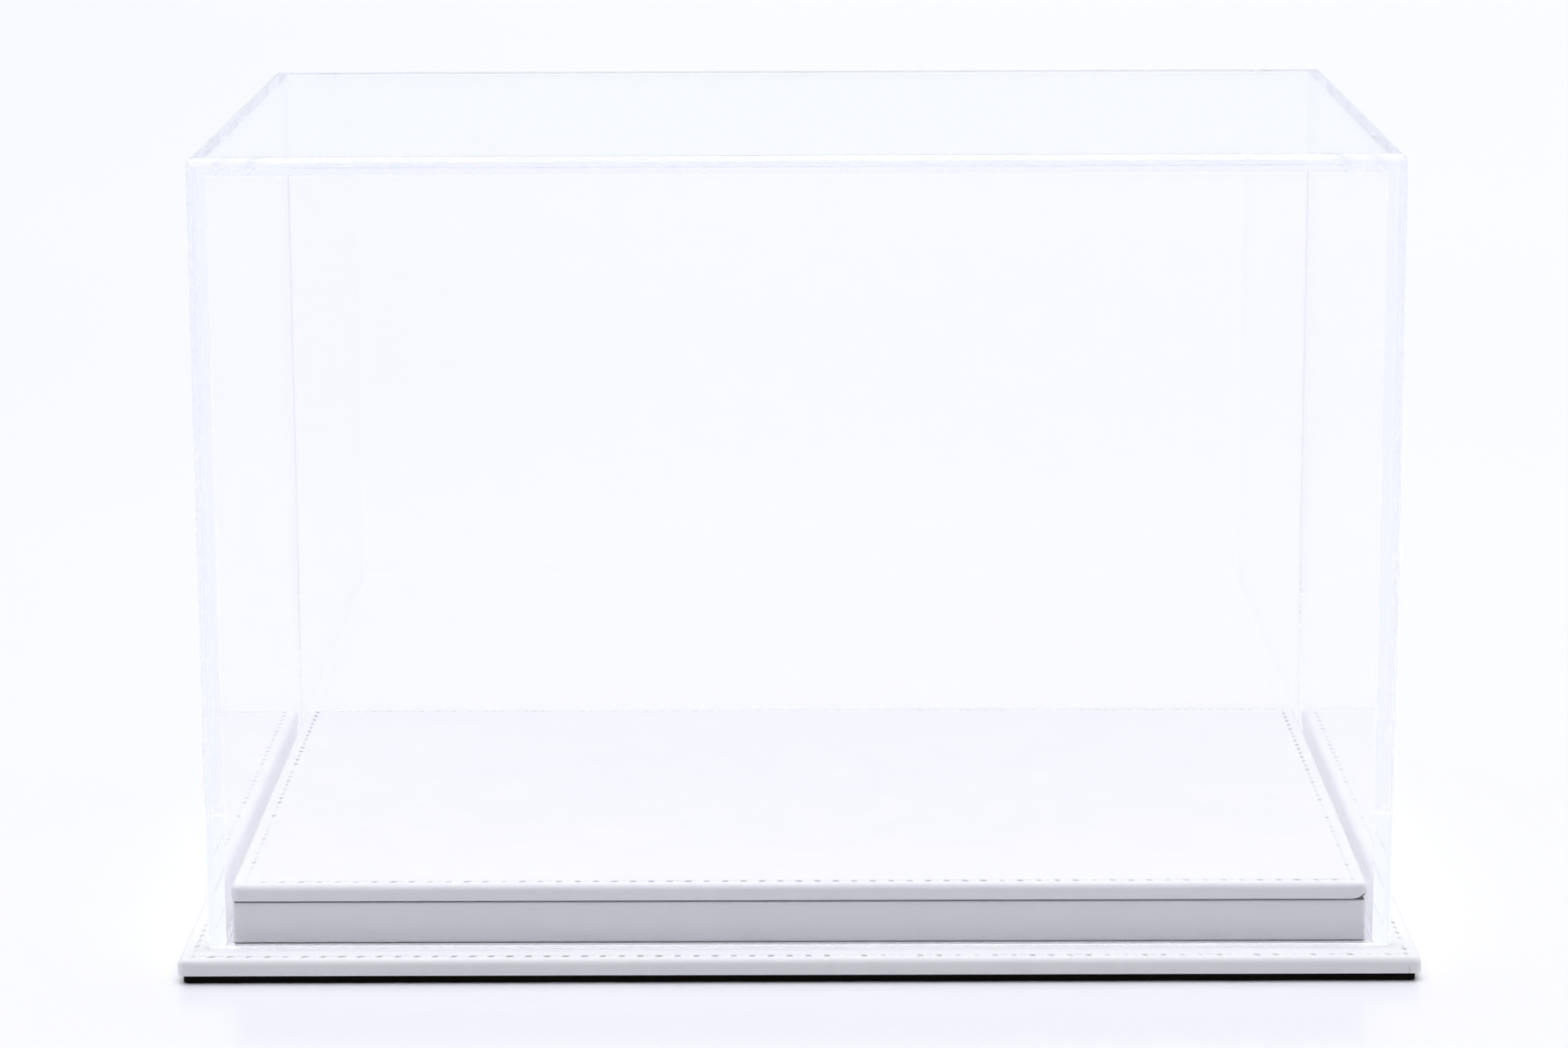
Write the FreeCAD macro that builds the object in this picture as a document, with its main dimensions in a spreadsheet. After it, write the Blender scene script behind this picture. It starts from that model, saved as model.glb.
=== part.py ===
import FreeCAD, Part
import os
import re
import Sketcher

# Clear display case: five bonded acrylic panels make a cover that stands over a two-step base.
# The base is a leather-wrapped board on a pad, a framed plinth and a leather-wrapped deck.
# Millimetres, +Z up, front towards -Y, origin under the middle of the base where it stands.

DIMENSIONS = [
    ("cover_width", 300, "cover, outside, left to right"),
    ("cover_depth", 200, "cover, outside, front to back"),
    ("cover_height", 201.4, "cover, foot to top"),
    ("panel_thickness", 4.6, "acrylic sheet sold as 5 mm"),
    ("panel_easing", 2.4, "radius on the cover's outer edges"),
    ("cover_clearance", 1.1, "deck to the inside of the cover"),
    ("side_overhang", 6.5, "lower board beyond the cover at each side"),
    ("front_overhang", 10, "lower board beyond the cover at front and back"),
    ("pad_thickness", 2.1, "pad under the lower board"),
    ("pad_inset", 1.3, "pad in from the lower board's edge"),
    ("pad_corner", 1.5, "radius of the pad's corners"),
    ("core_thickness", 3, "fibreboard inside each wrapped board"),
    ("core_clip", 1, "corner cut off each core, where the leather is folded"),
    ("leather_thickness", 0.65, "leather on the boards"),
    ("leather_corner", 2, "radius of a wrapped board's corners, seen from above"),
    ("leather_brow", 1.1, "radius of a wrapped board's upper edge"),
    ("leather_heel", 1.4, "radius of a wrapped board's lower edge"),
    ("leather_turn", 9, "leather turned in underneath, from the board's edge"),
    ("plinth_height", 11.2, "plinth between the two boards"),
    ("plinth_inset", 0.5, "plinth in from the deck's edge"),
    ("wrap_thickness", 0.5, "band round the plinth"),
    ("wrap_corner", 1, "radius of the band's corners, seen from above"),
    ("wrap_edge", 0.6, "radius of the band's upper and lower edges"),
    ("wrap_turn", 8, "band turned in above and below, from the plinth's face"),
    ("rail_width", 24, "rails of the plinth's frame"),
    ("stitch_inset", 3.6, "row of stitches in from a board's edge"),
    ("stitch_pitch", 4.7, "needle hole to needle hole"),
    ("stitch_length", 3.2, "thread that shows between two holes"),
    ("stitch_dive", 0.6, "length in which a stitch comes up out of its hole"),
    ("thread_width", 0.8, "sewing thread, across"),
    ("thread_rise", 0.4, "sewing thread, above the leather"),
    ("screw_shank", 3, "screw diameter"),
    ("screw_head", 6, "countersunk head diameter"),
    ("screw_sink", 0.3, "head below the underside of its board"),
    ("screw_point", 2, "length of the screw's point"),
    ("screw_bite", 2.2, "screw into the deck's core, point and all"),
    ("screw_play", 0.1, "hole larger than the screw, on the radius"),
]
SCREW_COUNT_EACH_WAY = 2
TOLERANCE = 1e-4

# Sizes that follow from the driving ones, as formulas on the sheet's names.
INSIDE_WIDTH = "(cover_width - 2 * panel_thickness)"
INSIDE_DEPTH = "(cover_depth - 2 * panel_thickness)"
WALL_HEIGHT = "(cover_height - panel_thickness)"
BOARD_WIDTH = "(cover_width + 2 * side_overhang)"
BOARD_DEPTH = "(cover_depth + 2 * front_overhang)"
BOARD_HEIGHT = "(core_thickness + 2 * leather_thickness)"
DECK_WIDTH = f"({INSIDE_WIDTH} - 2 * cover_clearance)"
DECK_DEPTH = f"({INSIDE_DEPTH} - 2 * cover_clearance)"
PLINTH_WIDTH = f"({DECK_WIDTH} - 2 * plinth_inset)"
PLINTH_DEPTH = f"({DECK_DEPTH} - 2 * plinth_inset)"
FRAME_WIDTH = f"({PLINTH_WIDTH} - 2 * wrap_thickness)"
FRAME_DEPTH = f"({PLINTH_DEPTH} - 2 * wrap_thickness)"
FRAME_HEIGHT = "(plinth_height - 2 * wrap_thickness)"
BAY_DEPTH = f"({FRAME_DEPTH} - 2 * rail_width)"
BOARD_TOP = f"(pad_thickness + {BOARD_HEIGHT})"
DECK_FOOT = f"({BOARD_TOP} + plinth_height)"
SCREW_SPAN_X = f"({FRAME_WIDTH} - rail_width)"
SCREW_SPAN_Y = f"({FRAME_DEPTH} - rail_width)"
SCREW_FOOT = "(pad_thickness + leather_thickness + screw_sink)"
SCREW_LENGTH = f"({DECK_FOOT} + leather_thickness + screw_bite - {SCREW_FOOT})"

doc = FreeCAD.newDocument("display_case")
sheet = doc.addObject("Spreadsheet::Sheet", "Sizes")
for row, (alias, number, meaning) in enumerate(DIMENSIONS, start=1):
    sheet.set(f"A{row}", meaning)
    sheet.set(f"B{row}", str(number))
    sheet.setAlias(f"B{row}", alias)
doc.recompute()

ALIAS = re.compile("|".join(rf"\b{alias}\b" for alias, number, meaning in DIMENSIONS))
parts = []


def bound(formula):
    """The formula with each name written as a cell of the sheet."""
    return ALIAS.sub(lambda found: f"Sizes.{found.group()}", formula)


def bind(thing, **formulas):
    """Tie properties of an object to formulas."""
    for name, formula in formulas.items():
        thing.setExpression(name, bound(formula))


def place(thing, across="0", along="0", up="0"):
    """Tie an object's position to formulas."""
    for axis, formula in zip("xyz", (across, along, up)):
        thing.setExpression(f".Placement.Base.{axis}", bound(formula))
    return thing


def keep(thing, label):
    """List an object as a piece of the case."""
    thing.Label = label
    parts.append(thing)
    return thing


def origin_feature(body, role):
    """One of the planes or axes of the body's own origin."""
    return next(feature for feature in body.Origin.OriginFeatures if feature.Role == role)


def new_sketch(body, plane):
    """An empty sketch on one of the body's origin planes."""
    sketch = body.newObject("Sketcher::SketchObject", "outline")
    sketch.AttachmentSupport = [(origin_feature(body, plane), "")]
    sketch.MapMode = "FlatFace"
    return sketch


def loop(sketch, corners):
    """A closed run of lines through rough corners, for constraints to set."""
    count = len(corners)
    vectors = [FreeCAD.Vector(across, up, 0) for across, up in corners]
    for side in range(count):
        sketch.addGeometry(Part.LineSegment(vectors[side], vectors[(side + 1) % count]), False)
    for side in range(count):
        sketch.addConstraint(Sketcher.Constraint("Coincident", side, 2, (side + 1) % count, 1))


def hold(sketch, kind, *where):
    """One geometric constraint."""
    sketch.addConstraint(Sketcher.Constraint(kind, *where))


def measure(sketch, name, formula, kind, *where):
    """One distance that follows a formula."""
    start = sketch.addConstraint(Sketcher.Constraint(kind, *where, 1.0))
    sketch.renameConstraint(start, name)
    sketch.setExpression(f".Constraints.{name}", bound(formula))


def rectangle(body, width, depth):
    """A rectangle round the origin of the body's ground plane."""
    sketch = new_sketch(body, "XY_Plane")
    loop(sketch, [(-1, -1), (1, -1), (1, 1), (-1, 1)])
    for side, kind in enumerate(("Horizontal", "Vertical", "Horizontal", "Vertical")):
        hold(sketch, kind, side)
    hold(sketch, "Symmetric", 0, 1, 2, 1, -1, 1)
    measure(sketch, "width", width, "DistanceX", 0, 1, 0, 2)
    measure(sketch, "depth", depth, "DistanceY", 1, 1, 1, 2)
    return sketch


def slab(name, width, depth, height):
    """A body whose first feature is a rectangle padded upwards."""
    body = doc.addObject("PartDesign::Body", name)
    pad = body.newObject("PartDesign::Pad", "pad")
    pad.Profile = rectangle(body, width, depth)
    bind(pad, Length=height)
    return body


def soften(body, kind, size_name, formula, wanted):
    """Fillet or chamfer the edges of the body's last feature that pass a test."""
    doc.recompute()
    tip = body.Tip
    box = tip.Shape.BoundBox
    names = [f"Edge{n}" for n, edge in enumerate(tip.Shape.Edges, start=1) if wanted(edge.BoundBox, box)]
    feature = body.newObject(f"PartDesign::{kind}", kind.lower())
    feature.Base = (tip, names)
    bind(feature, **{size_name: formula})


def upright(edge, box):
    """True of an edge that stands straight up."""
    return max(edge.XLength, edge.YLength) < TOLERANCE < edge.ZLength


def upper(edge, box):
    """True of an edge that lies in the top face."""
    return edge.ZMin > box.ZMax - TOLERANCE


def lower(edge, box):
    """True of an edge that lies in the bottom face."""
    return edge.ZMax < box.ZMin + TOLERANCE


def window(body, width, depth, height):
    """Cut an opening upwards from the body's ground plane."""
    pocket = body.newObject("PartDesign::Pocket", "window")
    pocket.Profile = rectangle(body, width, depth)
    pocket.Reversed = True
    bind(pocket, Length=height)


def cut(base, tool):
    """What is left of one object when another is taken from it."""
    result = doc.addObject("Part::Cut", "cut")
    result.Base = base
    result.Tool = tool
    return result


def screw_field(name, play):
    """Screws in even rows both ways, each larger than nominal by the play all over."""
    body = doc.addObject("PartDesign::Body", name)
    sketch = new_sketch(body, "XZ_Plane")
    loop(sketch, [(0, 0), (3, 0), (2, 1), (2, 4), (0, 5)])
    hold(sketch, "Coincident", 0, 1, -1, 1)
    hold(sketch, "Horizontal", 0)
    hold(sketch, "Vertical", 2)
    hold(sketch, "PointOnObject", 3, 2, -2)
    head = f"screw_head / 2 + {play}"
    shank = f"screw_shank / 2 + {play}"
    measure(sketch, "head", head, "DistanceX", 0, 1, 0, 2)
    measure(sketch, "shank", shank, "DistanceX", -1, 1, 2, 1)
    measure(sketch, "cone", "(screw_head - screw_shank) / 2", "DistanceY", 0, 2, 1, 2)
    measure(sketch, "shoulder", f"{SCREW_LENGTH} - screw_point", "DistanceY", -1, 1, 2, 2)
    measure(sketch, "length", f"{SCREW_LENGTH} + {play}", "DistanceY", -1, 1, 3, 2)
    turned = body.newObject("PartDesign::Revolution", "turned")
    turned.Profile = sketch
    turned.ReferenceAxis = (sketch, ["V_Axis"])
    rows = body.newObject("PartDesign::MultiTransform", "rows")
    rows.Originals = [turned]
    steps = []
    for axis, span in (("X_Axis", SCREW_SPAN_X), ("Y_Axis", SCREW_SPAN_Y)):
        step = body.newObject("PartDesign::LinearPattern", "step")
        step.Direction = (origin_feature(body, axis), [""])
        step.Occurrences = SCREW_COUNT_EACH_WAY
        bind(step, Length=span)
        steps.append(step)
    rows.Transformations = steps
    body.Tip = rows
    return place(body, f"-{SCREW_SPAN_X} / 2", f"-{SCREW_SPAN_Y} / 2", SCREW_FOOT)


def stitch_row(length):
    """Stitches end to end along X about the origin: low humps of thread between needle holes."""
    body = doc.addObject("PartDesign::Body", "stitch_row")
    count = f"round({length} / stitch_pitch)"
    sketch = new_sketch(body, "XZ_Plane")
    loop(sketch, [(-3, 0), (-1, 0), (-2, 1), (-2.5, 1)])
    hold(sketch, "PointOnObject", 0, 1, -1)
    hold(sketch, "Horizontal", 0)
    hold(sketch, "Horizontal", 2)
    measure(sketch, "begin", f"({length} - {length} / {count} + stitch_length) / 2", "DistanceX", 0, 1, -1, 1)
    measure(sketch, "stitch", "stitch_length", "DistanceX", 0, 1, 0, 2)
    measure(sketch, "rise_run", "stitch_dive", "DistanceX", 0, 1, 2, 2)
    measure(sketch, "fall_run", "stitch_dive", "DistanceX", 2, 1, 0, 2)
    measure(sketch, "rise", "thread_rise", "DistanceY", 0, 1, 2, 2)
    hump = body.newObject("PartDesign::Pad", "hump")
    hump.Profile = sketch
    hump.SideType = "Symmetric"
    bind(hump, Length="thread_width")
    row = body.newObject("PartDesign::LinearPattern", "row")
    row.Originals = [hump]
    row.Direction = (origin_feature(body, "X_Axis"), [""])
    bind(row, Length=f"{length} * (1 - 1 / {count})", Occurrences=count)
    body.Tip = row
    return body


def stitching(label, width, depth, top):
    """Four rows of stitches round a board, inside its edge."""
    row_width = f"({width} - 2 * stitch_inset)"
    row_depth = f"({depth} - 2 * stitch_inset)"
    rows = []
    for side in (-1, 1):
        rows.append(place(stitch_row(row_width), "0", f"{side} * {row_depth} / 2", top))
        turned = place(stitch_row(row_depth), f"{side} * {row_width} / 2", "0", top)
        turned.Placement.Rotation = FreeCAD.Rotation(FreeCAD.Vector(0, 0, 1), 90)
        rows.append(turned)
    group = doc.addObject("Part::Compound", label)
    group.Links = rows
    return keep(group, label)


def wrapped_board(width, depth, foot):
    """A fibreboard core and the leather drawn over it and turned in underneath, not yet drilled."""
    margin = "2 * leather_thickness"
    blank = slab("core_blank", f"{width} - {margin}", f"{depth} - {margin}", "core_thickness")
    soften(blank, "Chamfer", "Size", "core_clip", upright)
    place(blank, up=f"{foot} + leather_thickness")
    cover = slab("leather_blank", width, depth, BOARD_HEIGHT)
    soften(cover, "Fillet", "Radius", "leather_corner", upright)
    soften(cover, "Fillet", "Radius", "leather_brow", upper)
    soften(cover, "Fillet", "Radius", "leather_heel", lower)
    window(cover, f"{width} - 2 * leather_turn", f"{depth} - 2 * leather_turn", "leather_thickness")
    place(cover, up=foot)
    return blank, cut(cover, blank)


def panel(label, width, depth, height, across="0", along="0", up=BOARD_TOP):
    """One sheet of the cover."""
    body = place(slab(label, width, depth, height), across, along, up)
    return keep(body, label)


# Cover: front and back run the full width, the sides stand between them, the top lies on all four.
top_panel = panel("cover_top_panel", "cover_width", "cover_depth", "panel_thickness",
                  up=f"{BOARD_TOP} + {WALL_HEIGHT}")
soften(top_panel, "Fillet", "Radius", "panel_easing", lambda e, b: upright(e, b) or upper(e, b))
wall_shift = "(cover_depth - panel_thickness) / 2"
front_panel = panel("cover_front_panel", "cover_width", "panel_thickness", WALL_HEIGHT, along=f"-{wall_shift}")
soften(front_panel, "Fillet", "Radius", "panel_easing",
       lambda e, b: upright(e, b) and e.YMax < b.YMin + TOLERANCE)
back_panel = panel("cover_back_panel", "cover_width", "panel_thickness", WALL_HEIGHT, along=wall_shift)
soften(back_panel, "Fillet", "Radius", "panel_easing",
       lambda e, b: upright(e, b) and e.YMin > b.YMax - TOLERANCE)
side_shift = "(cover_width - panel_thickness) / 2"
panel("cover_left_panel", "panel_thickness", INSIDE_DEPTH, WALL_HEIGHT, across=f"-{side_shift}")
panel("cover_right_panel", "panel_thickness", INSIDE_DEPTH, WALL_HEIGHT, across=side_shift)

# Pad that the case stands on.
pad_body = slab("base_pad", f"{BOARD_WIDTH} - 2 * pad_inset", f"{BOARD_DEPTH} - 2 * pad_inset", "pad_thickness")
soften(pad_body, "Fillet", "Radius", "pad_corner", upright)
keep(pad_body, "base_pad")

# Screws from below, and the holes that they need in all that they pass.
keep(screw_field("screws", "0"), "base_screws")
screw_holes = screw_field("screw_holes", "screw_play")

# Wrapped boards, lower and upper, each with its row of stitches.
board_core, board_leather = wrapped_board(BOARD_WIDTH, BOARD_DEPTH, "pad_thickness")
keep(cut(board_core, screw_holes), "lower_board_core")
keep(cut(board_leather, screw_holes), "lower_board_leather")
stitching("lower_board_stitching", BOARD_WIDTH, BOARD_DEPTH, BOARD_TOP)
deck_core, deck_leather = wrapped_board(DECK_WIDTH, DECK_DEPTH, DECK_FOOT)
keep(cut(deck_core, screw_holes), "deck_core")
keep(deck_leather, "deck_leather")
stitching("deck_stitching", DECK_WIDTH, DECK_DEPTH, f"{DECK_FOOT} + {BOARD_HEIGHT}")

# Plinth: two long rails take the screws, three short ones stand between them, and a band goes round.
frame_foot = f"{BOARD_TOP} + wrap_thickness"
rail_x = f"({FRAME_WIDTH} - rail_width) / 2"
rail_y = f"({FRAME_DEPTH} - rail_width) / 2"
for label, along in (("plinth_front_rail", f"-{rail_y}"), ("plinth_back_rail", rail_y)):
    rail = place(slab("rail_blank", FRAME_WIDTH, "rail_width", FRAME_HEIGHT), "0", along, frame_foot)
    keep(cut(rail, screw_holes), label)
for label, across in (("plinth_left_rail", f"-{rail_x}"), ("plinth_cross_rail", "0"), ("plinth_right_rail", rail_x)):
    rail = slab(label, "rail_width", BAY_DEPTH, FRAME_HEIGHT)
    keep(place(rail, across, "0", frame_foot), label)

band = slab("band_blank", PLINTH_WIDTH, PLINTH_DEPTH, "plinth_height")
soften(band, "Fillet", "Radius", "wrap_corner", upright)
soften(band, "Fillet", "Radius", "wrap_edge", lambda e, b: upper(e, b) or lower(e, b))
window(band, f"{PLINTH_WIDTH} - 2 * wrap_turn", f"{PLINTH_DEPTH} - 2 * wrap_turn", "plinth_height")
place(band, up=BOARD_TOP)
frame_block = place(slab("frame_block", FRAME_WIDTH, FRAME_DEPTH, FRAME_HEIGHT), up=frame_foot)
keep(cut(band, frame_block), "plinth_wrap")

doc.recompute()
for thing in doc.Objects:
    if {"Invalid", "Error"} & set(thing.State):
        raise RuntimeError(f"{thing.Label} did not recompute: {thing.State}")
for piece in doc.Objects:
    if piece.TypeId == "Part::Cut" and piece.Shape.Volume > piece.Base.Shape.Volume - TOLERANCE:
        raise RuntimeError(f"{piece.Label} lost nothing to its cut")
os.makedirs("parts", exist_ok=True)
for piece in parts:
    if piece.Shape.isNull() or not piece.Shape.isValid():
        raise RuntimeError(f"{piece.Label} has no valid shape")
    print(piece.Label, len(piece.Shape.Solids), round(piece.Shape.Volume), piece.Shape.BoundBox)
    piece.Shape.exportStep(f"parts/{piece.Label}.step")
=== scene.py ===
"""Looks of a clear acrylic display case: bonded cover, stitched leather boards, banded plinth, felt pad."""
import math

import bmesh
import bpy
import numpy as np
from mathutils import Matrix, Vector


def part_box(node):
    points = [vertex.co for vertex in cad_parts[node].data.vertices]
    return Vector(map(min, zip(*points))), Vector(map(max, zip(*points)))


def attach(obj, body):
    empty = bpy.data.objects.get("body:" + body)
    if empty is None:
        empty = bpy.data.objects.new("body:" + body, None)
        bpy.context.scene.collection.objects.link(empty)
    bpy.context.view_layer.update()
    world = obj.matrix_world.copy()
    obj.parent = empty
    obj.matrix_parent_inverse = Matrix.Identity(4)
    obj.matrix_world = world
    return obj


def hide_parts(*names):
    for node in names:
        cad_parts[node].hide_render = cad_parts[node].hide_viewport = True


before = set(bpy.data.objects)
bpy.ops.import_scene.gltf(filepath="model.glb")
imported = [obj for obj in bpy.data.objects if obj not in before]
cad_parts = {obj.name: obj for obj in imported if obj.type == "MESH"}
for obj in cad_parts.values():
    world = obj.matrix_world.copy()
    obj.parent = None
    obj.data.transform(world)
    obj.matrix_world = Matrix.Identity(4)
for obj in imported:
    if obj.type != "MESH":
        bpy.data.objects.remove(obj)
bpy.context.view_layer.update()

MM = 0.001
QUARTER = 0.5 * math.pi
FRONT, RIGHT, BACK, LEFT = range(4)

# Acrylic cover.
COVER_ROUND = 2.4 * MM
ROUND_FACETS = 24
COVER_LIFT = 0.05 * MM
FOOT_NICK = 0.15 * MM
FOOT_BEVEL = 0.45 * MM
BUFFED_HAZE, SAWN_HAZE, POLISHED_HAZE = 0.1, 0.6, 0.02

# Leather boards.
LEATHER_SKIN = 0.65 * MM
LEATHER_TURN = 9 * MM
BOARD_CORNER = 2.2 * MM
CORNER_STEPS = 6
BROW_ROUND = 1.5 * MM
BROW_WANDER = 0.16 * MM
# Heel creases: width and depth of each groove, and how strongly shade is painted into it.
CREASE_WIDTH, CREASE_DEPTH, CREASE_SHADE_TONE = 0.13 * MM, 0.1 * MM, 0.5
CREASE_STEPS = np.array([-0.45, -0.3, -0.15, 0, 0.15, 0.3, 0.45]) * MM

# Stitch rows: channel and pits in the leather, and the thread.
STITCH_INSET = 3.6 * MM
STITCH_PITCH = 4.7 * MM
STEPS_PER_STITCH = 10
ROW_STEPS = np.array([3.0, 1.6, 1.1, 0.8, 0.6, 0.4, 0.2, 0, -0.2, -0.4, -0.6, -0.8, -1.1, -1.5]) * MM
CHANNEL_WIDTH, CHANNEL_DEPTH = 0.9 * MM, 0.04 * MM
PIT_WIDTH, PIT_DEPTH = 0.55 * MM, 0.55 * MM
PIT_REACH_LEAST, PIT_REACH_PULLED = 0.35 * MM, 0.5 * MM
SIDE_PULL = {RIGHT: 0.62, BACK: 0.35, LEFT: 0.62}
THREAD_RADIUS, THREAD_REACH = 0.3 * MM, 1.5 * MM
THREAD_SINK, THREAD_DIVE = 0.2 * MM, 0.45 * MM


# Shapes: a profile carried round a rounded rectangle.

def outline(sides, corner_steps):
    """Outline of a rounded rectangle, anticlockwise from above: each side from the front on, with its corner.

    A point is a part from -1 to 1 of the straight half-length, plus the corner radius in a direction.
    The rows of the result are part along x, part along y, direction x and direction y.
    """
    angles = np.linspace(0, QUARTER, corner_steps + 2)[1:-1]
    runs = []
    for turn, side in enumerate(sides):
        cos, sin = round(math.cos(turn * QUARTER)), round(math.sin(turn * QUARTER))
        along = np.concatenate([side, np.ones(corner_steps)])
        out_x = np.concatenate([np.zeros(len(side)), np.sin(angles)])
        out_y = np.concatenate([-np.ones(len(side)), -np.cos(angles)])
        runs.append(np.stack([along * cos + sin, along * sin - cos,
                              out_x * cos - out_y * sin, out_x * sin + out_y * cos]))
    return np.concatenate(runs, axis=1)


def rings(path, half_x, half_y, radius, inset, height):
    """Points of a shell: row v is the outline moved in by inset[v] and set at height[v].

    The corner radius shrinks with the inset, and a row whose half-length has run out is one middle point.
    """
    inset, height = (value[:, None] if value.ndim == 1 else value for value in (inset, height))
    reach_x = np.maximum(half_x - inset, 0)
    reach_y = np.where(reach_x > 0, np.maximum(half_y - inset, 0), 0)
    corner = np.minimum(np.maximum(radius - inset, 0), np.minimum(reach_x, reach_y))
    x = path[0] * (reach_x - corner) + path[2] * corner
    y = path[1] * (reach_y - corner) + path[3] * corner
    return np.stack(np.broadcast_arrays(x, y, height), axis=-1)


def around(path, half_x, half_y, radius):
    """Length along a board's edge at each point of its outline, and the whole length."""
    edge = rings(path, half_x, half_y, radius, np.zeros(1), np.zeros(1))[0]
    step = np.linalg.norm(np.roll(edge, -1, axis=0) - edge, axis=1)
    return np.concatenate([[0], np.cumsum(step)[:-1]]), step.sum()


def arc(inset, height, reach, rise, start, stop, steps):
    """Part of an ellipse in a profile about a centre at that inset and height; angle 0 points outwards."""
    angle = np.linspace(start, stop, steps)
    return np.stack([inset - reach * np.cos(angle), height + rise * np.sin(angle)])


def profile(*parts):
    """Insets and heights of points and arcs, joined in order."""
    joined = np.concatenate([np.reshape(part, (2, -1)) for part in parts], axis=1)
    return joined[0], joined[1]


def wander(length, whole, rng, waves):
    """Slow unevenness along a closed edge, from 0 to 1: a sum of sines that fit a whole number of times.

    A wave is its length and its weight.
    """
    total = sum(weight * np.sin(math.tau * round(whole / wave) * length / whole + rng.uniform(0, math.tau))
                for wave, weight in waves)
    return 0.5 + 0.5 * total / sum(weight for _, weight in waves)


def shell(name, points, material, smooth=True, closed_profile=False, values=None):
    """A mesh from rows of points, closed round the outline; a row of equal points becomes a pole."""
    rows, columns = points.shape[:2]
    index = np.arange(rows * columns).reshape(rows, columns)
    if closed_profile:
        index = np.concatenate([index, index[:1]])
    ahead = np.roll(index, -1, axis=1)
    quads = np.stack([index[:-1], index[1:], ahead[1:], ahead[:-1]], axis=-1).reshape(-1, 4)
    spread = {label: np.broadcast_to(value, (rows, columns)).ravel()
              for label, value in (values or {}).items()}
    return piece(name, points.reshape(-1, 3), quads, material, smooth, spread)


def piece(name, points, quads, material, smooth, values):
    """Put whole arrays into a mesh with its point values, merge equal points, and place it in the scene."""
    mesh = bpy.data.meshes.new(name)
    mesh.vertices.add(len(points))
    mesh.vertices.foreach_set("co", points.astype(np.float32).ravel())
    mesh.loops.add(quads.size)
    mesh.loops.foreach_set("vertex_index", quads.astype(np.int32).ravel())
    mesh.polygons.add(len(quads))
    mesh.polygons.foreach_set("loop_start", np.arange(0, quads.size, 4, dtype=np.int32))
    mesh.update(calc_edges=True)
    for label, value in values.items():
        kind, field = ("FLOAT", "value") if value.ndim == 1 else ("FLOAT_VECTOR", "vector")
        mesh.attributes.new(label, kind, "POINT").data.foreach_set(field, value.astype(np.float32).ravel())
    work = bmesh.new()
    work.from_mesh(mesh)
    bmesh.ops.remove_doubles(work, verts=work.verts, dist=1e-7)
    bmesh.ops.dissolve_degenerate(work, edges=work.edges, dist=1e-8)
    work.to_mesh(mesh)
    work.free()
    mesh.validate()
    mesh.polygons.foreach_set("use_smooth", np.full(len(mesh.polygons), smooth))
    mesh.materials.append(material)
    made = bpy.data.objects.new(name, mesh)
    bpy.context.scene.collection.objects.link(made)
    return made


def half_sizes(node):
    """Half width, half depth, foot and top of a CAD node; all of them stand round the middle."""
    low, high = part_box(node)
    return high[0], high[1], low[2], high[2]


def stand_in(made, body, slot, *nodes):
    """Say what a piece rides on and which CAD nodes it shows, and hide those; slot, its finish, is not used.
    """
    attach(made, body)
    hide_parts(*nodes)


# Materials.

def linear(code):
    """sRGB hex to linear colour with full alpha."""
    srgb = np.array([int(code[i:i + 2], 16) for i in (1, 3, 5)]) / 255
    value = np.where(srgb <= 0.04045, srgb / 12.92, ((srgb + 0.055) / 1.055) ** 2.4)
    return (*value.tolist(), 1.0)


def add(tree, kind, settings=None, links=None, **properties):
    """A node with its properties, its socket values and its incoming links."""
    node = tree.nodes.new(kind)
    for name, value in properties.items():
        setattr(node, name, value)
    for name, value in (settings or {}).items():
        node.inputs[name].default_value = value
    for name, source in (links or {}).items():
        tree.links.new(source, node.inputs[name])
    return node


def blank(name):
    """A material with an empty tree, that tree, and a source of Object coordinates."""
    material = bpy.data.materials.new(name)
    material.use_nodes = True
    material.node_tree.nodes.clear()
    return material, material.node_tree, add(material.node_tree, "ShaderNodeTexCoord").outputs["Object"]


def close(tree, shader, volume=None):
    """Link a shader, and a volume where there is one, to the material's output."""
    links = {"Surface": shader.outputs["BSDF"]}
    if volume:
        links["Volume"] = volume.outputs["Volume"]
    add(tree, "ShaderNodeOutputMaterial", links=links)


def cast_acrylic():
    """Clear cast acrylic with buffed edges and a cut foot.

    Faces are sharp mirrors and see-through, the buffed rounds are slightly hazy, the foot is frosted where it
    was sawn and nearly clear where it was polished, and long ways inside turn faintly blue.
    """
    material, tree, _ = blank("clear_cast_acrylic_buffed")
    haze = add(tree, "ShaderNodeAttribute", attribute_name="haze")
    shader = add(tree, "ShaderNodeBsdfPrincipled",
                 {"Base Color": linear("#FEFEFF"), "IOR": 1.49, "Transmission Weight": 1.0},
                 {"Roughness": haze.outputs["Fac"]})
    volume = add(tree, "ShaderNodeVolumeAbsorption", {"Color": linear("#C4D2F9"), "Density": 0.6})
    close(tree, shader, volume)
    return material


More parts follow.
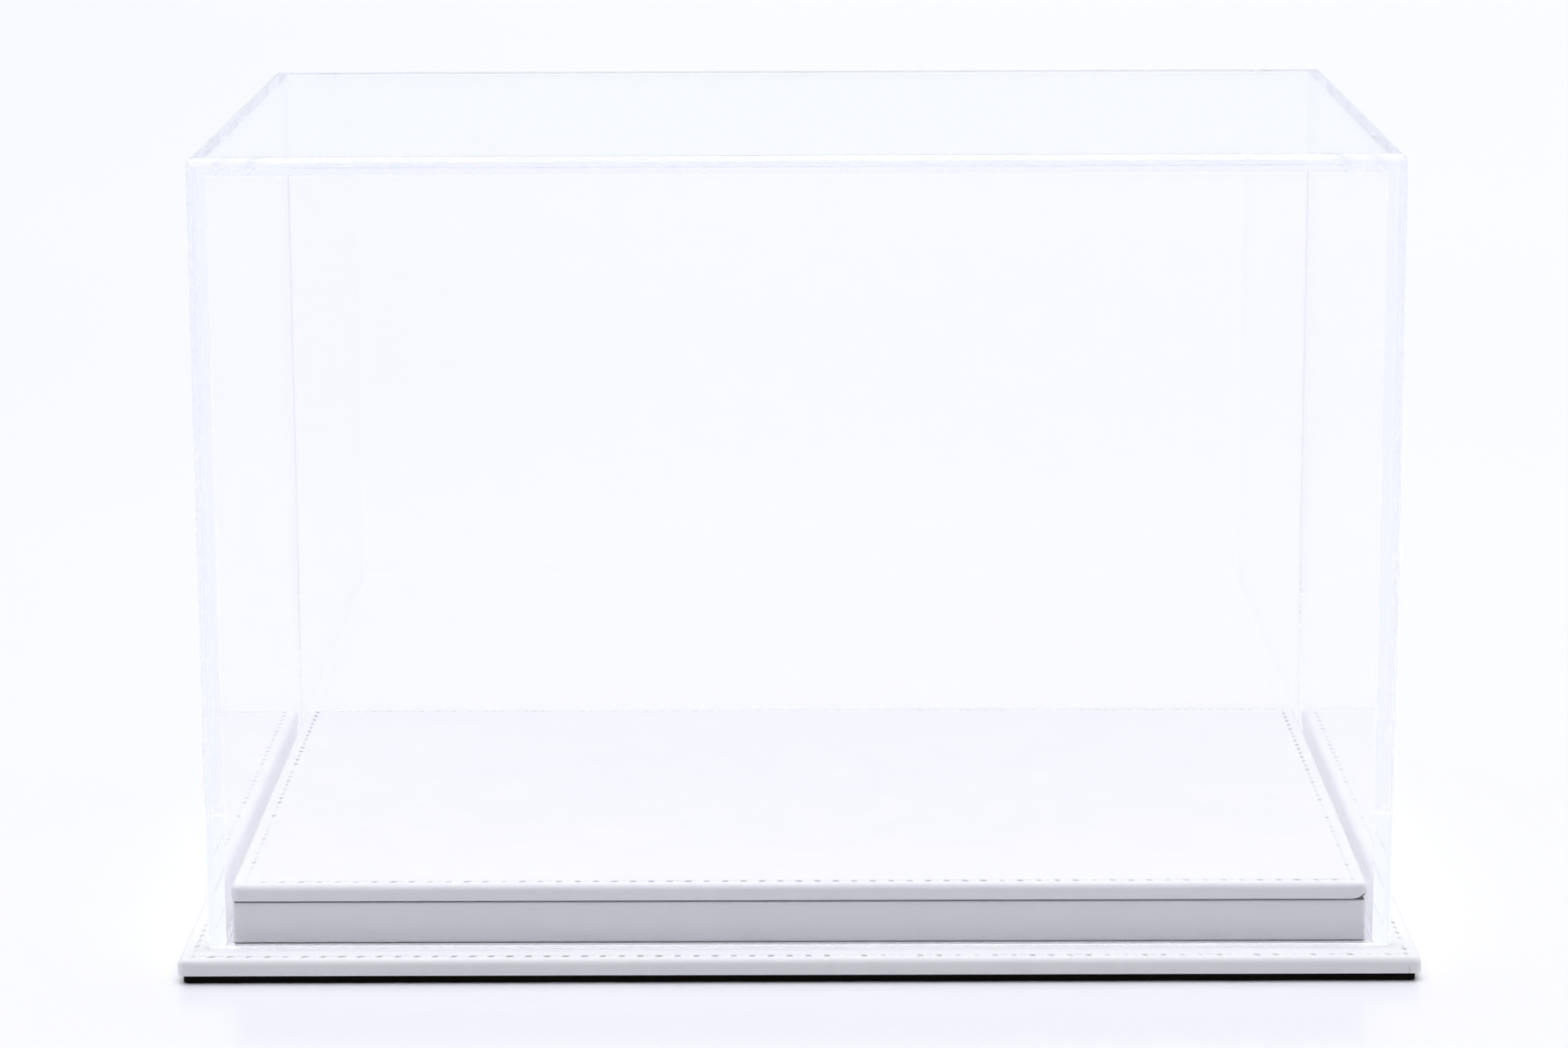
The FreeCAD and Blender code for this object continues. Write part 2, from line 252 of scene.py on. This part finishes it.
def coated_leather():
    """White split leather, coated and embossed: soft satin with fine pebbles; painted shade in the folds, and
    the greyer backing with painted shade in the needle holes.
    """
    material, tree, place = blank("white_coated_leather_embossed")
    pebble_size, mottle_size = 0.9 * MM, 14 * MM
    pebble = add(tree, "ShaderNodeTexVoronoi", {"Scale": 1 / pebble_size}, {"Vector": place},
                 feature="SMOOTH_F1")
    mottle = add(tree, "ShaderNodeTexNoise", {"Scale": 1 / mottle_size, "Detail": 3.0}, {"Vector": place})
    tone = add(tree, "ShaderNodeMix", {"A": linear("#F4F4F8"), "B": linear("#F9F9FC")},
               {"Factor": mottle.outputs["Fac"]}, data_type="RGBA")
    # Painted shade in the creases of the folded heel.
    crease_shade = add(tree, "ShaderNodeAttribute", attribute_name="crease_shade")
    fold_shaded = add(tree, "ShaderNodeMix", {"B": linear("#8E867E")},
                 {"Factor": crease_shade.outputs["Fac"], "A": tone.outputs["Result"]}, data_type="RGBA")
    # Needle holes: the greyer leather backing, partly, and painted shade in the pits, partly.
    hole = add(tree, "ShaderNodeAttribute", attribute_name="hole_backing_and_shade")
    pierced_backing_and_shade = add(tree, "ShaderNodeMix", {"B": linear("#262327")},
                  {"Factor": hole.outputs["Fac"], "A": fold_shaded.outputs["Result"]}, data_type="RGBA")
    bump = add(tree, "ShaderNodeBump", {"Strength": 0.12, "Distance": 0.05 * MM},
               {"Height": pebble.outputs["Distance"]})
    shader = add(tree, "ShaderNodeBsdfPrincipled", {"Roughness": 0.5, "IOR": 1.5, "Specular IOR Level": 0.25},
                 {"Base Color": pierced_backing_and_shade.outputs["Result"], "Normal": bump.outputs["Normal"]})
    close(tree, shader)
    return material


def sewing_thread():
    """White polyester sewing thread, twisted: matt, with plies that slant round it."""
    material, tree, _ = blank("white_polyester_thread_twisted")
    plies, twist = 3.0, 1.8 * MM
    ply = add(tree, "ShaderNodeSeparateXYZ",
              links={"Vector": add(tree, "ShaderNodeAttribute", attribute_name="ply").outputs["Vector"]})
    angle = add(tree, "ShaderNodeMath", links={0: ply.outputs["Z"], 1: ply.outputs["Y"]}, operation="ARCTAN2")
    turned = add(tree, "ShaderNodeMath", {1: math.tau / twist},
                 {0: ply.outputs["X"], 2: angle.outputs["Value"]}, operation="MULTIPLY_ADD")
    strands = add(tree, "ShaderNodeMath", {1: plies}, {0: turned.outputs["Value"]}, operation="MULTIPLY")
    ridge = add(tree, "ShaderNodeMath", links={0: strands.outputs["Value"]}, operation="SINE")
    height = add(tree, "ShaderNodeMath", {1: 0.5, 2: 0.5}, {0: ridge.outputs["Value"]},
                 operation="MULTIPLY_ADD")
    # Painted shade: the thread is darker where the ply height is low, in the grooves between the plies.
    tone = add(tree, "ShaderNodeMix", {"A": linear("#E2E2E6"), "B": linear("#FAFAFC")},
               {"Factor": height.outputs["Value"]}, data_type="RGBA")
    bump = add(tree, "ShaderNodeBump", {"Strength": 0.6, "Distance": 0.08 * MM},
               {"Height": height.outputs["Value"]})
    shader = add(tree, "ShaderNodeBsdfPrincipled", {"Roughness": 0.75, "Specular IOR Level": 0.2},
                 {"Base Color": tone.outputs["Result"], "Normal": bump.outputs["Normal"]})
    close(tree, shader)
    return material


def vinyl_film():
    """White vinyl film, calendered: even satin, faintly uneven over the board behind, with painted shade,
    nearly black, in the slots by its edges.
    """
    material, tree, place = blank("white_vinyl_film_calendered")
    uneven_size = 9 * MM
    uneven = add(tree, "ShaderNodeTexNoise", {"Scale": 1 / uneven_size, "Detail": 4.0}, {"Vector": place})
    tone = add(tree, "ShaderNodeMix", {"A": linear("#F1F2F5"), "B": linear("#F7F8FA")},
               {"Factor": uneven.outputs["Fac"]}, data_type="RGBA")
    # Painted shade: the slots above and below the band's face are coloured nearly black.
    slot_shaded = add(tree, "ShaderNodeAttribute", attribute_name="slot_shade")
    edge = add(tree, "ShaderNodeMix", {"B": linear("#1E1A19")},
               {"Factor": slot_shaded.outputs["Fac"], "A": tone.outputs["Result"]}, data_type="RGBA")
    bump = add(tree, "ShaderNodeBump", {"Strength": 0.05, "Distance": 0.1 * MM},
               {"Height": uneven.outputs["Fac"]})
    shader = add(tree, "ShaderNodeBsdfPrincipled", {"Roughness": 0.42, "Specular IOR Level": 0.3},
                 {"Base Color": edge.outputs["Result"], "Normal": bump.outputs["Normal"]})
    close(tree, shader)
    return material


def pressed_felt():
    """Black wool felt, pressed: deep matt black with short fibres that catch a little light."""
    material, tree, place = blank("black_felt_pressed")
    fibre_size = 0.8 * MM
    fibre = add(tree, "ShaderNodeTexNoise", {"Scale": 1 / fibre_size, "Detail": 6.0, "Distortion": 1.5},
                {"Vector": place})
    tone = add(tree, "ShaderNodeMix", {"A": linear("#060505"), "B": linear("#1B1612")},
               {"Factor": fibre.outputs["Fac"]}, data_type="RGBA")
    bump = add(tree, "ShaderNodeBump", {"Strength": 0.5, "Distance": 0.2 * MM},
               {"Height": fibre.outputs["Fac"]})
    shader = add(tree, "ShaderNodeBsdfPrincipled", {"Roughness": 0.95, "Specular IOR Level": 0.1},
                 {"Base Color": tone.outputs["Result"], "Normal": bump.outputs["Normal"]})
    close(tree, shader)
    return material


def sawn_fibreboard():
    """Hard fibreboard, sawn: dark brown, with fine pale and dark fibres."""
    material, tree, place = blank("raw_hard_fibreboard_sawn")
    fibre_size = 1.5 * MM
    fibre = add(tree, "ShaderNodeTexNoise", {"Scale": 1 / fibre_size, "Detail": 5.0}, {"Vector": place})
    tone = add(tree, "ShaderNodeMix", {"A": linear("#33261C"), "B": linear("#5A4532")},
               {"Factor": fibre.outputs["Fac"]}, data_type="RGBA")
    shader = add(tree, "ShaderNodeBsdfPrincipled", {"Roughness": 0.85, "Specular IOR Level": 0.2},
                 {"Base Color": tone.outputs["Result"]})
    close(tree, shader)
    return material


def plated_steel():
    """Zinc-plated steel, rolled: bright grey metal with a slightly cloudy gloss."""
    material, tree, place = blank("zinc_plated_steel_rolled")
    cloud_size = 0.6 * MM
    cloud = add(tree, "ShaderNodeTexNoise", {"Scale": 1 / cloud_size}, {"Vector": place})
    rough = add(tree, "ShaderNodeMapRange", {"To Min": 0.25, "To Max": 0.4}, {"Value": cloud.outputs["Fac"]})
    shader = add(tree, "ShaderNodeBsdfPrincipled", {"Base Color": linear("#C9CBCC"), "Metallic": 1.0},
                 {"Roughness": rough.outputs["Result"]})
    close(tree, shader)
    return material


ACRYLIC = cast_acrylic()
WHITE_LEATHER = coated_leather()
THREAD = sewing_thread()
VINYL = vinyl_film()
FELT = pressed_felt()
FIBREBOARD = sawn_fibreboard()
STEEL = plated_steel()

HIDDEN_FRAME = {
    "lower_board_core": FIBREBOARD, "deck_core": FIBREBOARD, "plinth_front_rail": FIBREBOARD,
    "plinth_back_rail": FIBREBOARD, "plinth_left_rail": FIBREBOARD, "plinth_right_rail": FIBREBOARD,
    "plinth_cross_rail": FIBREBOARD, "base_screws": STEEL,
}
for node, finish in HIDDEN_FRAME.items():
    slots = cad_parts[node].data.materials
    slots.clear()
    slots.append(finish)


# Pieces.

def acrylic_cover():
    """The bonded cover as one clear body: rounded outside, square inside.

    The profile runs from the middle of the top over a quarter round, down the wall, under the foot and up
    inside. The foot is sawn at the front and back and polished at the sides, with a narrow bevel inside that
    is buffed. Cement fills the joints, so the five sheets show no surface between them.
    """
    half_x, half_y, under, top = half_sizes("cover_top_panel")
    foot = half_sizes("cover_front_panel")[2] + COVER_LIFT
    wall = top - under
    brow = arc(COVER_ROUND, top - COVER_ROUND, COVER_ROUND, COVER_ROUND, QUARTER, 0, ROUND_FACETS + 1)
    inset, height = profile(
        (half_x, top), brow, (0, foot + FOOT_NICK), (FOOT_NICK, foot),
        (wall - FOOT_BEVEL, foot), (wall, foot + FOOT_BEVEL), (wall, under), (half_x, under))
    ends = np.array([-1.0, 1.0])
    points = rings(outline([ends] * 4, ROUND_FACETS - 1), half_x, half_y, COVER_ROUND, inset, height)
    made = shell("acrylic_cover", points, ACRYLIC, smooth=False)

    faces = made.data.polygons
    normal, middle = np.empty((2, len(faces), 3), np.float32)
    faces.foreach_get("normal", normal.ravel())
    faces.foreach_get("center", middle.ravel())
    square_on = 0.9999
    round_face = np.abs(normal).max(axis=1) < square_on
    side_wall = (np.abs(middle[:, 0]) > half_x - wall) & (np.abs(middle[:, 1]) < half_y - wall)
    foot_haze = np.where(side_wall, POLISHED_HAZE, SAWN_HAZE)
    haze = np.where(middle[:, 2] < foot + FOOT_NICK, foot_haze, np.where(round_face, BUFFED_HAZE, 0))
    made.data.attributes.new("haze", "FLOAT", "FACE").data.foreach_set("value", haze.astype(np.float32))
    stand_in(made, "cover", "clear_acrylic", "cover_front_panel", "cover_back_panel", "cover_left_panel",
             "cover_right_panel", "cover_top_panel")


def needle_holes(sides, counts, rng):
    """At each point of a board's outline: way to the nearest needle hole, its pull and its slant.

    The pull of the thread swells as a sine three times round the board, differs from hole to hole, and is
    strongest along the front.
    """
    mean, swell, spread, weakest, askew = 0.72, 0.22, 0.16, 0.25, 0.07
    starts = np.concatenate([[0], np.cumsum(counts)])
    holes = starts[-1]
    along, hole = [], []
    for side, count, start in zip(sides, counts, starts):
        phase = np.concatenate([(side + 1) / 2 * count, np.full(CORNER_STEPS, count)])
        along.append((phase - np.round(phase)) * STITCH_PITCH)
        hole.append((start + np.round(phase).astype(int)) % holes)
    along, hole = np.concatenate(along), np.concatenate(hole)
    turn = np.arange(holes) / holes
    pull = mean + swell * np.sin(math.tau * (3 * turn + rng.random())) + rng.normal(0, spread, holes)
    pull = np.clip(pull, weakest, 1)
    for side, share in SIDE_PULL.items():
        pull[starts[side]:starts[side + 1]] *= share
    slant = rng.normal(0, askew, holes)
    return along, pull[hole], slant[hole]


def crease_grooves(sides, halves, creases):
    """Creases along a board's outline, from 0 to 1: a bell of the distance from each of them.

    A crease is a side, the end of that side that it is near, and its distance from that end in millimetres.
    """
    grooves = []
    for side, (points, half) in enumerate(zip(sides, halves)):
        groove = np.zeros(len(points) + CORNER_STEPS)
        for where, end, far in creases:
            if where == side:
                spot = points * (half - BOARD_CORNER) - end * (half - far * MM)
                groove[:len(points)] += np.exp(-(spot / CREASE_WIDTH) ** 2)
        grooves.append(groove)
    return np.concatenate(grooves)


def corner_rise(sides, length, whole, lifted):
    """Rise of the lower edge along a board's outline: a bell of the way from each lifted corner.

    A lifted corner is the side that it ends, its rise and the spread of its bell in millimetres.
    """
    rise = np.zeros(len(length))
    for where, amount, spread in lifted:
        corner = length[sum(len(side) + CORNER_STEPS for side in sides[:where + 1]) - CORNER_STEPS // 2]
        apart = np.abs((length - corner + 0.5 * whole) % whole - 0.5 * whole)
        rise += amount * MM * np.exp(-(apart / (spread * MM)) ** 2)
    return rise


def board_leather(name, node, seed, heel, darkest, creases, lifted):
    """Leather drawn over a board and turned in below, with a sewn row of needle holes round its top.

    The profile runs from the middle of the top over the brow, down to the heel, in below and back inside.
    The top sinks by a flat bell of the distance from the row and by a steep pit at each hole, one over one
    plus the sixth power of the way along the row and the fourth across it. A stronger pull leaves a longer,
    deeper hole, coloured darker for its greyer backing and for painted shade. The edge wanders in most at the
    brow, by a half sine of the way down.
    """
    rng = np.random.default_rng(seed)
    half_x, half_y, foot, top = half_sizes(node)
    halves = [half_x, half_y, half_x, half_y]
    counts = [round(2 * (half - STITCH_INSET) / STITCH_PITCH) for half in halves]
    sides = []
    for side, (half, count) in enumerate(zip(halves, counts)):
        near = [(half - far * MM + CREASE_STEPS) / (half - BOARD_CORNER) * end
                for where, end, far in creases if where == side]
        even = np.linspace(-1, 1, STEPS_PER_STITCH * count + 1)
        sides.append(np.unique(np.concatenate([even, *near]).round(9)))
    path = outline(sides, CORNER_STEPS)
    length, whole = around(path, half_x, half_y, BOARD_CORNER)
    along, pull, slant = needle_holes(sides, counts, rng)
    uneven = wander(length, whole, rng, [(71 * MM, 1.0), (29 * MM, 0.7), (12 * MM, 0.35)])
    groove = crease_grooves(sides, halves, creases)
    rise = corner_rise(sides, length, whole, lifted)

    plain_from = 20 * MM
    flat_inset = np.concatenate([[half_x, plain_from], STITCH_INSET + ROW_STEPS])
    flat = np.stack([flat_inset, np.full(len(flat_inset), top)])
    brow = arc(BROW_ROUND, top - BROW_ROUND, BROW_ROUND, BROW_ROUND, QUARTER, 0, 9)
    under = arc(heel, foot + heel, heel, heel, 0, -QUARTER, 6)
    inset, height = profile(flat, brow, under, (LEATHER_TURN, foot), (LEATHER_TURN, foot + LEATHER_SKIN),
                            (LEATHER_SKIN, foot + LEATHER_SKIN), (LEATHER_SKIN, top - LEATHER_SKIN),
                            (half_x, top - LEATHER_SKIN))
    row = np.arange(len(inset))[:, None]
    brow_from = flat.shape[1]
    heel_from = brow_from + brow.shape[1]
    heel_to = heel_from + under.shape[1]
    on_flat = row < brow_from
    on_edge = (row >= brow_from) & (row < heel_to)
    on_heel = (row >= heel_from) & (row < heel_to)
    # The heel lifts together with the inner corner behind it, which comes after the two rows of the turn-in.
    lifts = on_heel | (row == heel_to + 2)
    way_down = np.clip((row - brow_from) / brow.shape[1], 0, 1)
    least_wander = 0.25
    at_brow = np.where(on_edge, np.sin(np.pi * way_down) + least_wander, 0)

    from_row = (inset - STITCH_INSET)[:, None]
    channel = np.exp(-(from_row / CHANNEL_WIDTH) ** 2)
    pit_reach = PIT_REACH_LEAST + PIT_REACH_PULLED * pull
    pit = (pull / (1 + (along / pit_reach) ** 6)
           / (1 + ((from_row - slant * along) / PIT_WIDTH) ** 4)) * on_flat
    points = rings(path, half_x, half_y, BOARD_CORNER,
                   inset[:, None] + at_brow * BROW_WANDER * uneven + on_edge * CREASE_DEPTH * groove,
                   height[:, None] - on_flat * CHANNEL_DEPTH * channel - PIT_DEPTH * pit + lifts * rise)
    # Painted shade in the needle holes, with the greyer backing: the colour darkens with the depth of each
    # pit.
    contrast, pale_below = 2.2, 0.35
    hole_backing_and_shade_tone = np.clip(contrast * pit - pale_below, 0, 1) * darkest
    # Painted shade in the heel creases: the colour darkens along each groove.
    made = shell(name, points, WHITE_LEATHER,
                 values={"hole_backing_and_shade": hole_backing_and_shade_tone, "crease_shade": on_heel * CREASE_SHADE_TONE * groove})
    stand_in(made, "base", "white_leather", node)


def board_stitches(name, node, board, seed):
    """Thread between needle holes: each stitch a tube on a low arch whose ends dive into the leather.

    The arch falls with the fourth power of the way to the end, and the tube closes there as the root of one
    less the eighth power. Each stitch slants a little, unlike the next, and lies a little higher or lower.
    """
    rng = np.random.default_rng(seed)
    half_x, half_y, _, top = half_sizes(board)
    rows = [half_x - STITCH_INSET, half_y - STITCH_INSET]
    spots = []
    for turn in range(4):
        half, other = rows[turn % 2], rows[1 - turn % 2]
        count = round(2 * half / STITCH_PITCH)
        along = (2 * (np.arange(count) + 0.5) / count - 1) * half
        cos, sin = math.cos(turn * QUARTER), math.sin(turn * QUARTER)
        spots.append(np.stack([along * cos + other * sin, along * sin - other * cos,
                               np.full(count, turn * QUARTER)]))
    x, y, heading = np.concatenate(spots, axis=1)[:, :, None, None]
    stops, facets = 8, 6
    run = np.linspace(-1, 1, stops)[:, None]
    angle = np.arange(facets) / facets * math.tau
    thick = THREAD_RADIUS * np.sqrt(1 - run ** 8)
    local_x, local_y, local_z = np.broadcast_arrays(
        THREAD_REACH * run, thick * np.cos(angle),
        thick * np.sin(angle) - THREAD_SINK - THREAD_DIVE * run ** 4)
    slant, unlike, uneven = 0.03, 0.04, 0.03 * MM
    heading = heading + rng.normal(slant, unlike, heading.shape)
    lift = rng.normal(0, uneven, heading.shape)
    points = np.stack([x + local_x * np.cos(heading) - local_y * np.sin(heading),
                       y + local_x * np.sin(heading) + local_y * np.cos(heading),
                       top + lift + local_z + 0 * x], axis=-1)
    index = np.arange(points[..., 0].size).reshape(points.shape[:3])
    ahead = np.roll(index, -1, axis=2)
    quads = np.stack([index[:, :-1], ahead[:, :-1], ahead[:, 1:], index[:, 1:]], axis=-1).reshape(-1, 4)
    ply = np.stack(np.broadcast_arrays(local_x, np.cos(angle), np.sin(angle)), axis=-1)
    ply = np.broadcast_to(ply, points.shape).reshape(-1, 3)
    made = piece(name, points.reshape(-1, 3), quads, THREAD, True, {"ply": ply})
    stand_in(made, "base", "white_thread", node)


def plinth_band():
    """Vinyl band round the plinth: a thin channel whose face stops short of both boards, with painted shade
    in the slots.

    The profile is closed: in along the top, down the slot, down the face, in under the foot and back inside.
    """
    half_x, half_y, foot, top = half_sizes("plinth_wrap")
    skin, film, turn = 0.4 * MM, 0.1 * MM, 8 * MM
    edge, lip, corner = 0.3 * MM, 0.12 * MM, 1.0 * MM
    upper_slot, lower_slot, depth = 0.45 * MM, 0.35 * MM, 2.4 * MM
    high, low = top - upper_slot, foot + lower_slot
    back = depth + skin
    outside = profile((turn, top), (depth, top), (depth, high), (edge + lip, high),
                      arc(edge, high - edge, edge, edge, QUARTER, 0, 6),
                      arc(edge, low + edge, edge, edge, 0, -QUARTER, 6),
                      (edge + lip, low), (depth, low), (depth, foot), (turn, foot))
    inside = profile((turn, foot + film), (back, foot + film), (back, low + skin), (skin, low + skin),
                     (skin, high - skin), (back, high - skin), (back, top - film), (turn, top - film))
    inset, height = profile(np.stack(outside), np.stack(inside))
    slot_shaded = np.zeros(len(inset))
    # Three rows line the upper slot, and three the lower one, after the two arcs of the face; they take
    # painted shade, nearly black, for the shadow in the slots.
    slot_shaded[[1, 2, 3, 16, 17, 18]] = 1
    side = np.linspace(-1, 1, 41)
    points = rings(outline([side] * 4, CORNER_STEPS), half_x, half_y, corner, inset, height)
    made = shell("plinth_band", points, VINYL, closed_profile=True, values={"slot_shade": slot_shaded[:, None]})
    made.data.set_sharp_from_angle(angle=math.radians(40))
    stand_in(made, "base", "white_vinyl", "plinth_wrap")


def felt_pad():
    """Felt under the base: a flat sheet whose soft cut edge wanders in by a fraction of a millimetre."""
    rng = np.random.default_rng(23)
    half_x, half_y, foot, top = half_sizes("base_pad")
    edge, plain_from, corner, fray = 0.45 * MM, 6 * MM, 1.5 * MM, 0.3 * MM
    inset, height = profile((half_x, top), (plain_from, top),
                            arc(edge, top - edge, edge, edge, QUARTER, 0, 5),
                            arc(edge, foot + edge, edge, edge, 0, -QUARTER, 5),
                            (plain_from, foot), (half_x, foot))
    path = outline([np.linspace(-1, 1, 181), np.linspace(-1, 1, 121)] * 2, CORNER_STEPS)
    length, whole = around(path, half_x, half_y, corner)
    uneven = wander(length, whole, rng, [(37 * MM, 1.0), (11 * MM, 0.6), (4 * MM, 0.5)])
    loose = (inset < plain_from)[:, None]
    points = rings(path, half_x, half_y, corner, inset[:, None] + loose * fray * uneven, height)
    made = shell("felt_pad", points, FELT)
    stand_in(made, "base", "black_felt", "base_pad")


acrylic_cover()
board_leather("lower_leather", "lower_board_leather", seed=3, heel=0.7 * MM, darkest=0.75,
              creases=[(FRONT, 1, 3.1), (LEFT, 1, 3.3), (BACK, 1, 3.2), (BACK, -1, 3.0)], lifted=[])
board_leather("deck_top_leather", "deck_leather", seed=5, heel=0.5 * MM, darkest=0.7,
              creases=[(LEFT, 1, 3.2), (BACK, -1, 3.1), (BACK, 1, 3.0)], lifted=[(FRONT, 1.3, 1.9)])
board_stitches("lower_stitches", "lower_board_stitching", "lower_board_leather", seed=13)
board_stitches("deck_stitches", "deck_stitching", "deck_leather", seed=17)
plinth_band()
felt_pad()


# Studio: pale floor, light from above, and a plain pale surround for what is seen through and in the cover.

def studio_floor():
    """A wide floor of smooth white board: nearly white, with a little painted violet shade to the left,
    weakly reflecting.
    """
    material, tree, place = blank("white_studio_board_smooth")
    across = add(tree, "ShaderNodeSeparateXYZ", links={"Vector": place})
    # Painted shade: the floor turns a little violet and darker towards the left.
    left_shade = add(tree, "ShaderNodeMapRange", {"From Min": 0.0, "From Max": -0.6},
               {"Value": across.outputs["X"]}, interpolation_type="SMOOTHSTEP")
    tone = add(tree, "ShaderNodeMix", {"A": linear("#F8F8FC"), "B": linear("#F2F3FC")},
               {"Factor": left_shade.outputs["Result"]}, data_type="RGBA")
    shader = add(tree, "ShaderNodeBsdfPrincipled", {"Roughness": 0.15, "Specular IOR Level": 0.15},
                 {"Base Color": tone.outputs["Result"]})
    close(tree, shader)
    reach = 6.0
    corners = [(-reach, -reach, 0), (reach, -reach, 0), (reach, reach, 0), (-reach, reach, 0)]
    mesh = bpy.data.meshes.new("studio_floor")
    mesh.from_pydata(corners, [], [(0, 1, 2, 3)])
    mesh.materials.append(material)
    floor = bpy.data.objects.new("studio_floor", mesh)
    bpy.context.scene.collection.objects.link(floor)


def studio_light():
    """Light from overhead, leaning a little to the back, with a weaker one from either side.

    Each falls off with a power of the cosine from its middle. Ways from the eye that meet no matt surface end
    in a pale surround, white at strength 1, which brightens with a lower power of the overhead cosine.
    """
    lean = math.radians(3)
    overhead, overhead_power, all_round = 4.8, 8.0, 0.085
    side, side_power = 3.4, 30.0
    glow, glow_power = 1.8, 3.0

    world = bpy.data.worlds.new("studio")
    bpy.context.scene.world = world
    world.use_nodes = True
    tree = world.node_tree
    tree.nodes.clear()
    place = add(tree, "ShaderNodeTexCoord").outputs["Generated"]
    up = add(tree, "ShaderNodeSeparateXYZ", links={"Vector": place})
    along = add(tree, "ShaderNodeVectorMath", {1: (0.0, math.sin(lean), math.cos(lean))}, {0: place},
                operation="DOT_PRODUCT")
    above = add(tree, "ShaderNodeMath", {1: 0.0}, {0: along.outputs["Value"]}, operation="MAXIMUM")
    fall = add(tree, "ShaderNodeMath", {1: overhead_power}, {0: above.outputs["Value"]}, operation="POWER")
    level = add(tree, "ShaderNodeMath", {1: overhead, 2: all_round}, {0: fall.outputs["Value"]},
                operation="MULTIPLY_ADD")
    aside = add(tree, "ShaderNodeMath", {1: side_power}, {0: up.outputs["X"]}, operation="POWER")
    level = add(tree, "ShaderNodeMath", {1: side}, {0: aside.outputs["Value"], 2: level.outputs["Value"]},
                operation="MULTIPLY_ADD")
    light = add(tree, "ShaderNodeBackground", {"Color": linear("#FBFBFF")},
                {"Strength": level.outputs["Value"]})

    high = add(tree, "ShaderNodeMapRange", {"From Min": 0.15, "From Max": 0.5}, {"Value": up.outputs["Z"]},
               interpolation_type="SMOOTHSTEP")
    tone = add(tree, "ShaderNodeMix", {"A": linear("#F6F9FF"), "B": linear("#FFFFFF")},
               {"Factor": high.outputs["Result"]}, data_type="RGBA")
    swell = add(tree, "ShaderNodeMath", {1: glow_power}, {0: above.outputs["Value"]}, operation="POWER")
    bright = add(tree, "ShaderNodeMath", {1: glow, 2: 1.0}, {0: swell.outputs["Value"]},
                 operation="MULTIPLY_ADD")
    surround = add(tree, "ShaderNodeBackground",
                   links={"Color": tone.outputs["Result"], "Strength": bright.outputs["Value"]})

    path = add(tree, "ShaderNodeLightPath")
    seen = add(tree, "ShaderNodeMath", operation="ADD",
               links={0: path.outputs["Is Camera Ray"], 1: path.outputs["Is Glossy Ray"]})
    seen = add(tree, "ShaderNodeMath", operation="ADD", use_clamp=True,
               links={0: seen.outputs["Value"], 1: path.outputs["Is Transmission Ray"]})
    direct = add(tree, "ShaderNodeMath", {1: 0.5}, {0: path.outputs["Diffuse Depth"]}, operation="LESS_THAN")
    plain = add(tree, "ShaderNodeMath", operation="MULTIPLY",
                links={0: seen.outputs["Value"], 1: direct.outputs["Value"]})
    both = add(tree, "ShaderNodeMixShader", links={0: plain.outputs["Value"], 1: light.outputs["Background"],
                                                   2: surround.outputs["Background"]})
    add(tree, "ShaderNodeOutputWorld", links={"Surface": both.outputs["Shader"]})


def studio_camera():
    """A long lens a little above the case, at the photograph's viewing angle."""
    data = bpy.data.cameras.new("studio_camera")
    data.sensor_fit = "HORIZONTAL"
    data.sensor_width = 36
    data.lens = 108.702
    data.clip_end = 50
    camera = bpy.data.objects.new("studio_camera", data)
    camera.location = (0.00252, -1.25345, 0.35095)
    camera.rotation_euler = [math.radians(angle) for angle in (78.4849, 0.2273, 0.2456)]
    bpy.context.scene.collection.objects.link(camera)
    bpy.context.scene.camera = camera


studio_floor()
studio_light()
studio_camera()
scene = bpy.context.scene
scene.view_settings.view_transform = "Standard"
# Light runs far along the inside of the clear walls before it comes out.
BOUNCES = 64
scene.cycles.max_bounces = BOUNCES
scene.cycles.glossy_bounces = BOUNCES
scene.cycles.transmission_bounces = BOUNCES
scene.cycles.blur_glossy = 0.0
